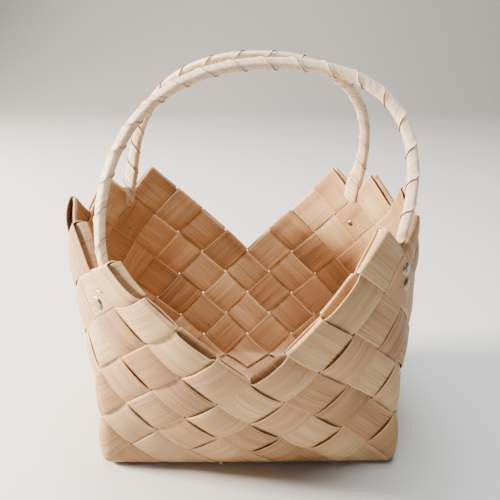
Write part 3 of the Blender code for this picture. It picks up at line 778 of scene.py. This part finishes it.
class Bow:
    """The middle line of one bow, from tip to tip, with its frame and section along it."""

    def __init__(self, left, right, top, root_pull, top_pull):
        line = self.leg(left, root_pull, -top_pull, top)
        line += self.leg(right, root_pull, top_pull, top)[::-1][1:]
        points = np.array([tuple(p) for p in line])
        for _ in range(BOW_SMOOTHINGS):
            points[1:-1] = points[1:-1] / 2 + (points[:-2] + points[2:]) / 4
        lengths = np.concatenate([[0], np.cumsum(np.linalg.norm(np.diff(points, axis=0), axis=1))])
        self.length = lengths[-1]
        count = round(self.length / BOW_STEP)
        self.s = np.linspace(0, self.length, count + 1)
        self.points = np.stack([np.interp(self.s, lengths, points[:, k]) for k in range(3)], -1)
        self.along = unit(np.gradient(self.points, axis=0))
        self.tongue = (left.place(TONGUE_EXIT_ROW)[0] - left.place(TONGUE_TIP_ROW)[0]).length
        self.sideways = (left.faces_side, right.faces_side)
        self.growth = (left.growth, right.growth)
        self.ups = self.carry(left.sideward(-1), right.sideward(1))

    def leg(self, pocket, root_pull, top_pull, top):
        """From the tip in its pocket, up out of the wall and over to the top."""
        rows = np.linspace(TONGUE_TIP_ROW, TONGUE_EXIT_ROW, LEG_ROWS)
        points = [pocket.place(row)[0] for row in rows]
        a, d = points[-1], top
        b, c = a + pocket.bow_way * root_pull, top + Vector((top_pull, 0, 0))
        for k in range(1, LEG_STEPS + 1):
            t = k / LEG_STEPS
            points.append(a * (1 - t) ** 3 + b * 3 * (1 - t) ** 2 * t + c * 3 * (1 - t) * t * t + d * t ** 3)
        return points

    def carry(self, first, last):
        """Up at every point, carried on without twist, what is left to turn spread evenly."""
        ways = [vector(way) for way in self.along]
        ups = [(first - ways[0] * first.dot(ways[0])).normalized()]
        for a, b in zip(ways, ways[1:]):
            ups.append(a.rotation_difference(b) @ ups[-1])
        rest = math.atan2(ways[-1].dot(ups[-1].cross(last)), ups[-1].dot(last))
        free = self.length - 2 * self.tongue
        turned = []
        for way, up, s in zip(ways, ups, self.s):
            share = min(max((s - self.tongue) / free, 0), 1)
            turned.append(tuple(Quaternion(way, rest * share) @ up))
        return unit(np.array(turned))

    def at(self, s, values):
        return np.stack([np.interp(s, self.s, values[:, k]) for k in range(3)], -1)

    def half_sizes(self, s):
        """Half the bow's extent up and across, from the flat hidden ends to the free bow."""
        from_end = np.minimum(s, self.length - s)
        thin = TONGUE_TIP_THICK + (TONGUE_THICK - TONGUE_TIP_THICK) * np.clip(from_end / self.tongue, 0, 1)
        sideways = np.where(s < self.length / 2, self.sideways[0], self.sideways[1])
        thin_to, grown_at, flare = (np.where(s < self.length / 2, a, b) for a, b in zip(*self.growth))
        free = ease((from_end / self.tongue - thin_to) / (grown_at - thin_to))
        flared = np.exp(-((from_end - self.tongue - FLARE_ABOVE) / FLARE_REACH) ** 2)
        width = BOW_WIDTH * (1 + flare * flared)
        half_up = (np.where(sideways, thin, TONGUE_WIDTH) * (1 - free) + width * free) / 2
        half_across = (np.where(sideways, TONGUE_WIDTH, thin) * (1 - free) + BOW_THICK * free) / 2
        return half_up, half_across

    def section(self, s, phi, grow, squareness):
        """Points and ways out on the bow's rounded outline, at an angle phi round it."""
        half_up, half_across = self.half_sizes(s)
        up = unit(self.at(s, self.ups))
        across = unit(np.cross(unit(self.at(s, self.along)), up))
        c, d = np.cos(phi), np.sin(phi)
        x = np.sign(c) * np.abs(c) ** (2 / squareness)
        y = np.sign(d) * np.abs(d) ** (2 / squareness)
        out_x, out_y = x / half_across, y / half_up
        size = np.sqrt(out_x ** 2 + out_y ** 2)
        out = across * (out_x / size)[..., None] + up * (out_y / size)[..., None]
        base = self.at(s, self.points) + across * (half_across * x)[..., None] + up * (half_up * y)[..., None]
        return base + out * np.asarray(grow)[..., None], out


def core_object(name, bow, material):
    """The flattened wood core of a bow, from tip to tip."""
    phi = np.arange(CORE_SIDES) / CORE_SIDES * 2 * math.pi
    s, phi = np.broadcast_arrays(bow.s[::2, None], phi[None, :])
    rings = bow.section(s, phi, np.zeros(s.shape), CORE_SQUARENESS)[0]
    across = np.abs(phi - math.pi) / math.pi * (CORE_GIRTH / 2)
    maps = wood_maps(s, across, CORE_SEED, np.zeros(s.shape + (2,)))
    return new_object(name, rings.reshape(-1, 3), ring_faces(*s.shape), material, maps)


def ribbon_object(name, bow, turn, start, end, phase, material):
    """One ribbon wound round the bow, each turn lapping over the edge of the next."""
    first = bow.tongue + start + WRAP_WIDTH / 2
    last = bow.length - bow.tongue - end - WRAP_WIDTH / 2
    turns = round((last - first) / WRAP_PITCH * WRAP_TURN_SHARES) / WRAP_TURN_SHARES
    t = np.linspace(0, 1, round(turns * WRAP_STEPS_PER_TURN) + 1)
    middle = first + (last - first) * t
    phi = (phase + turn * turns * t) * 2 * math.pi
    lap = ease((ACROSS - LAP_FROM) / LAP_RISE)
    s = middle[:, None] + ACROSS[None, :] * WRAP_WIDTH / 2
    grow = WRAP_GAP + WRAP_THICK / 2 + lap[None, :] * (WRAP_THICK + LAP_GAP) + np.zeros(s.shape)
    rows, ways = bow.section(s, np.broadcast_to(phi[:, None], s.shape), grow, WRAP_SQUARENESS)
    return strip_object(name, rows, ways, WRAP_THICK, WRAP_WIDTH, material, WRAP_SEED)


def room_objects(bow, material):
    """The room that both ends of a bow take."""
    phi = np.arange(ROOM_SIDES) / ROOM_SIDES * 2 * math.pi
    s = bow.s[::3]
    rooms = []
    for part in (s[s < ROOM_LENGTH], s[s > bow.length - ROOM_LENGTH]):
        along, angles = np.broadcast_arrays(part[:, None], phi[None, :])
        rings = bow.section(along, angles, np.full(along.shape, ROOM_GAP), ROOM_SQUARENESS)[0]
        rooms.append(new_object("room", rings.reshape(-1, 3), ring_faces(*along.shape), material))
    return rooms


# Rivets and staples

def lathe_object(name, profile, origin, out, up, material):
    """A body turned about the way out of the wall."""
    z = out.normalized()
    x = up.cross(z).normalized()
    turn = Matrix((x, z.cross(x), z)).transposed()
    rings = []
    for radius, height in profile:
        for k in range(RIVET_SIDES):
            angle = 2 * math.pi * k / RIVET_SIDES
            local = Vector((radius * math.cos(angle), radius * math.sin(angle), height))
            rings.append(tuple(origin + turn @ local))
    return new_object(name, rings, ring_faces(len(profile), RIVET_SIDES), material)


def rivet_object(name, pocket, row, material):
    """A rivet with its domed head outside and its tail clenched inside."""
    origin, out = pocket.place(row, 0)
    seat = PLY_OUT[1] + THICK / 2 + POCKET_SPREAD + FIT_GAP
    clench = PLY_OUT[4] - THICK / 2 - POCKET_SPREAD - FIT_GAP
    profile = [(radius, clench - past) for radius, past in TAIL]
    profile += [(SHANK_RADIUS, clench), (SHANK_RADIUS, seat)]
    profile += [(HEAD_RADIUS - 2 * HEAD_RIM, seat), (HEAD_RADIUS, seat + 0.8 * HEAD_RIM)]
    for k in range(1, DOME_STEPS):
        angle = math.radians(90 * k / DOME_STEPS)
        rise = HEAD_RIM + (HEAD_HEIGHT - HEAD_RIM) * math.sin(angle)
        profile.append((HEAD_RADIUS * math.cos(angle), seat + rise))
    profile.append((AXIS_RADIUS, seat + HEAD_HEIGHT))
    return lathe_object(name, profile, origin, out, pocket.row_way, material)


def staple_object(name, pocket, row, material):
    """Round wire through the wall and the handle, its feet clenched inside."""
    origin, out = pocket.place(row, 0)
    z = out.normalized()
    x = pocket.row_way.cross(z).normalized()
    half = STAPLE_WIDTH / 2 - WIRE_RADIUS
    top = PLY_OUT[1] + THICK / 2 + POCKET_SPREAD + WIRE_RADIUS
    low = PLY_OUT[4] - THICK / 2 - POCKET_SPREAD - WIRE_RADIUS
    side = half - STAPLE_BEND
    line = [(half - STAPLE_FOOT, low), (side, low)]
    for height, start in ((low + STAPLE_BEND, -90), (top - STAPLE_BEND, 0)):
        for turn in STAPLE_BEND_TURNS:
            angle = math.radians(start + turn)
            line.append((side + STAPLE_BEND * math.cos(angle), height + STAPLE_BEND * math.sin(angle)))
    line += [(-a, b) for a, b in line[::-1]]
    points = np.array([tuple(origin + x * a + z * b) for a, b in line])
    along = unit(np.gradient(points, axis=0))
    sideways = np.array(tuple(z.cross(x)))
    rings = []
    for point, way in zip(points, along):
        other = np.cross(way, sideways)
        for k in range(WIRE_SIDES):
            angle = 2 * math.pi * k / WIRE_SIDES
            rings.append(point + (sideways * math.cos(angle) + other * math.sin(angle)) * WIRE_RADIUS)
    return new_object(name, rings, ring_faces(len(points), WIRE_SIDES), material)


# All pieces

def cut(made, cutter):
    """Cut one piece and keep the result as its own mesh."""
    modifier = made.modifiers.new("cut", "BOOLEAN")
    modifier.operation = "DIFFERENCE"
    modifier.object = cutter
    modifier.solver = "EXACT"
    bpy.context.view_layer.update()
    shaped = made.evaluated_get(bpy.context.evaluated_depsgraph_get())
    mesh = bpy.data.meshes.new_from_object(shaped)
    made.modifiers.clear()
    made.data = mesh


def near(made, room):
    """Whether a point of the room lies within a few millimetres of one of the piece."""
    one = np.array([v.co[:] for v in made.data.vertices])
    other = np.array([v.co[:] for v in room.data.vertices])[::3]
    return any(np.min(np.sum((one - point) ** 2, -1)) < NEAR ** 2 for point in other)


def make_bows(pockets):
    """Both bows with their wrapping. Returns the room that they take."""
    core_wood = wood_material("bow_core_wood_fine", *CORE_WOOD)
    wrap_wood = wood_material("bow_wrap_wood_fine", *WRAP_WOOD, WRAP_FIBRE, WRAP_SEAM_SHADE)
    rooms = []
    for name, shape in BOWS.items():
        left, right = (pockets[end] for end in shape["ends"])
        bow = Bow(left, right, Vector(shape["top"]), *shape["pulls"])
        core = core_object(f"{name}_bow_core_fine", bow, core_wood)
        finish_piece(core, f"{name}_bow_core")
        ribbon = ribbon_object(f"{name}_bow_wrap_fine", bow, *shape["wrap"], wrap_wood)
        finish_piece(ribbon, f"{name}_bow_wrap")
        rooms += room_objects(bow, core_wood)
    return rooms


def make_splint(run, number, squares, rooms):
    """One splint, number 1 to 8 of its run, in its own shade of wood."""
    name = f"splint_{run}_{number}"
    seed = number + (8 if run == "b" else 0)
    slot, *tones = SPLINT_WOODS[(number + (run == "b")) % len(SPLINT_WOODS)]
    shade = 1 + SHADE_SPREAD * math.sin(seed * 2.7)
    shades = [(*(min(c * shade, 1) for c in tone[:3]), 1) for tone in tones]
    material = wood_material(name + "_wood", *shades)
    rows, ways = splint_grid(squares, seed)
    made = strip_object(name + "_fine", rows, ways, THICK, PITCH, material, seed)
    for room in rooms:
        if near(made, room):
            cut(made, room)
    finish_piece(made, name)


def make_splints(rooms):
    """All splints, each found from the lower of the two columns where it leaves the base."""
    counts = {"a": 0, "b": 0}
    for column in range(1, ROUND, 2):
        for direction in (1, -1):
            squares, end = splint_squares(column, direction)
            if end < column:
                continue
            turn = wall_to_base(column)[1]
            dx, dy = turn(direction, -1)
            run = "a" if dx * dy < 0 else "b"
            counts[run] += 1
            make_splint(run, counts[run], squares, rooms)


def make_all():
    pockets = {name: Pocket(**settings) for name, settings in POCKETS.items()}
    rooms = make_bows(pockets)
    make_splints(rooms)
    for room in rooms:
        bpy.data.objects.remove(room, do_unlink=True)
    rivet_metal = metal_material("rivet_metal_fine", *RIVET_METAL)
    staple_metal = metal_material("staple_metal_fine", *STAPLE_METAL)
    for name, end, row in RIVETS:
        finish_piece(rivet_object(name + "_fine", pockets[end], row, rivet_metal), name)
    for name, end, row in STAPLES:
        finish_piece(staple_object(name + "_fine", pockets[end], row, staple_metal), name)


make_all()


# Studio and camera

FLOOR_PAINT = colour(0.80, 0.80, 0.79)
FLOOR_ROUGHNESS = 0.85
FLOOR_FRONT = -6.0
FLOOR_BACK = 1.6
FLOOR_SIDE = 7.0
FLOOR_LEVEL = -0.0002
SWEEP_RADIUS = 1.2
BACKDROP_TOP = 5.0
SKY = (0.86, 0.87, 0.89, 1)
SKY_STRENGTH = 0.12

# Name, place, aim, size, power and tint of the lamps
LAMPS = [
    ("key", (-1.65, 0.16, 0.72), (0, 0, 0.12), 0.36, 212, (1.0, 0.89, 0.75)),
    ("fill", (0.6, -1.6, 0.9), (0, 0, 0.12), 1.2, 0.6, (1.0, 0.97, 0.92)),
    ("top", (-0.1, 0.1, 1.5), (0, 0, 0.05), 0.9, 46, (0.94, 0.97, 1.0)),
]

# The photograph's view, in diagonals of a square and radians
CAMERA_TARGET = (0.01847, 0.0, 3.3386)
CAMERA_DISTANCE = 8.50315
CAMERA_DOWN = 0.42659
CAMERA_RIGHT = 0.01616
CAMERA_ROLL = 0.00693
FOCAL_PIXELS = 485.036
PICTURE_PIXELS = 500
SENSOR = 36


def floor():
    """A pale floor that sweeps up behind."""
    profile = [(FLOOR_FRONT, 0.0), (FLOOR_BACK, 0.0)]
    for turn in range(5, 95, 5):
        angle = math.radians(turn)
        further, lower = SWEEP_RADIUS * math.sin(angle), SWEEP_RADIUS * math.cos(angle)
        profile.append((FLOOR_BACK + further, SWEEP_RADIUS - lower))
    profile.append((FLOOR_BACK + SWEEP_RADIUS, BACKDROP_TOP))
    verts = [(x, y, z) for y, z in profile for x in (-FLOOR_SIDE, FLOOR_SIDE)]
    faces = [(2 * k, 2 * k + 1, 2 * k + 3, 2 * k + 2) for k in range(len(profile) - 1)]
    mesh = bpy.data.meshes.new("floor")
    mesh.from_pydata(verts, [], faces)
    mesh.shade_smooth()
    made = bpy.data.objects.new("floor", mesh)
    made.location.z = FLOOR_LEVEL
    bpy.context.scene.collection.objects.link(made)
    n = Nodes("floor_paint")
    n.put(FLOOR_PAINT, n.shader.inputs["Base Color"])
    n.put(FLOOR_ROUGHNESS, n.shader.inputs["Roughness"])
    mesh.materials.append(n.material)


def lights():
    """Soft lamps, the strongest from the left, and a faint even light all round."""
    world = bpy.data.worlds.new("studio")
    bpy.context.scene.world = world
    world.use_nodes = True
    world.node_tree.nodes["Background"].inputs["Color"].default_value = SKY
    world.node_tree.nodes["Background"].inputs["Strength"].default_value = SKY_STRENGTH
    for name, place, aim, size, power, tint in LAMPS:
        light = bpy.data.lights.new(name, "AREA")
        light.energy = power
        light.size = size
        light.color = tint
        lamp = bpy.data.objects.new(name, light)
        lamp.location = place
        lamp.rotation_euler = (Vector(aim) - Vector(place)).to_track_quat("-Z", "Y").to_euler()
        bpy.context.scene.collection.objects.link(lamp)


def camera():
    """The photograph's view: from the front, a little above the rim."""
    diagonal = 2 * STEP
    target = Vector(CAMERA_TARGET) * diagonal + Vector((0, 0, BASE_LEVEL)) + Vector(SHIFT)
    flat = math.cos(CAMERA_DOWN)
    forward = Vector((math.sin(CAMERA_RIGHT) * flat, math.cos(CAMERA_RIGHT) * flat, -math.sin(CAMERA_DOWN)))
    level = Vector((math.cos(CAMERA_RIGHT), -math.sin(CAMERA_RIGHT), 0))
    above = level.cross(forward)
    right = level * math.cos(CAMERA_ROLL) + above * math.sin(CAMERA_ROLL)
    up = above * math.cos(CAMERA_ROLL) - level * math.sin(CAMERA_ROLL)
    data = bpy.data.cameras.new("camera")
    data.sensor_width = SENSOR
    data.lens = FOCAL_PIXELS / PICTURE_PIXELS * SENSOR
    made = bpy.data.objects.new("camera", data)
    turn = Matrix((right, up, -forward)).transposed().to_4x4()
    made.matrix_world = Matrix.Translation(target - forward * CAMERA_DISTANCE * diagonal) @ turn
    bpy.context.scene.collection.objects.link(made)
    bpy.context.scene.camera = made


floor()
lights()
camera()
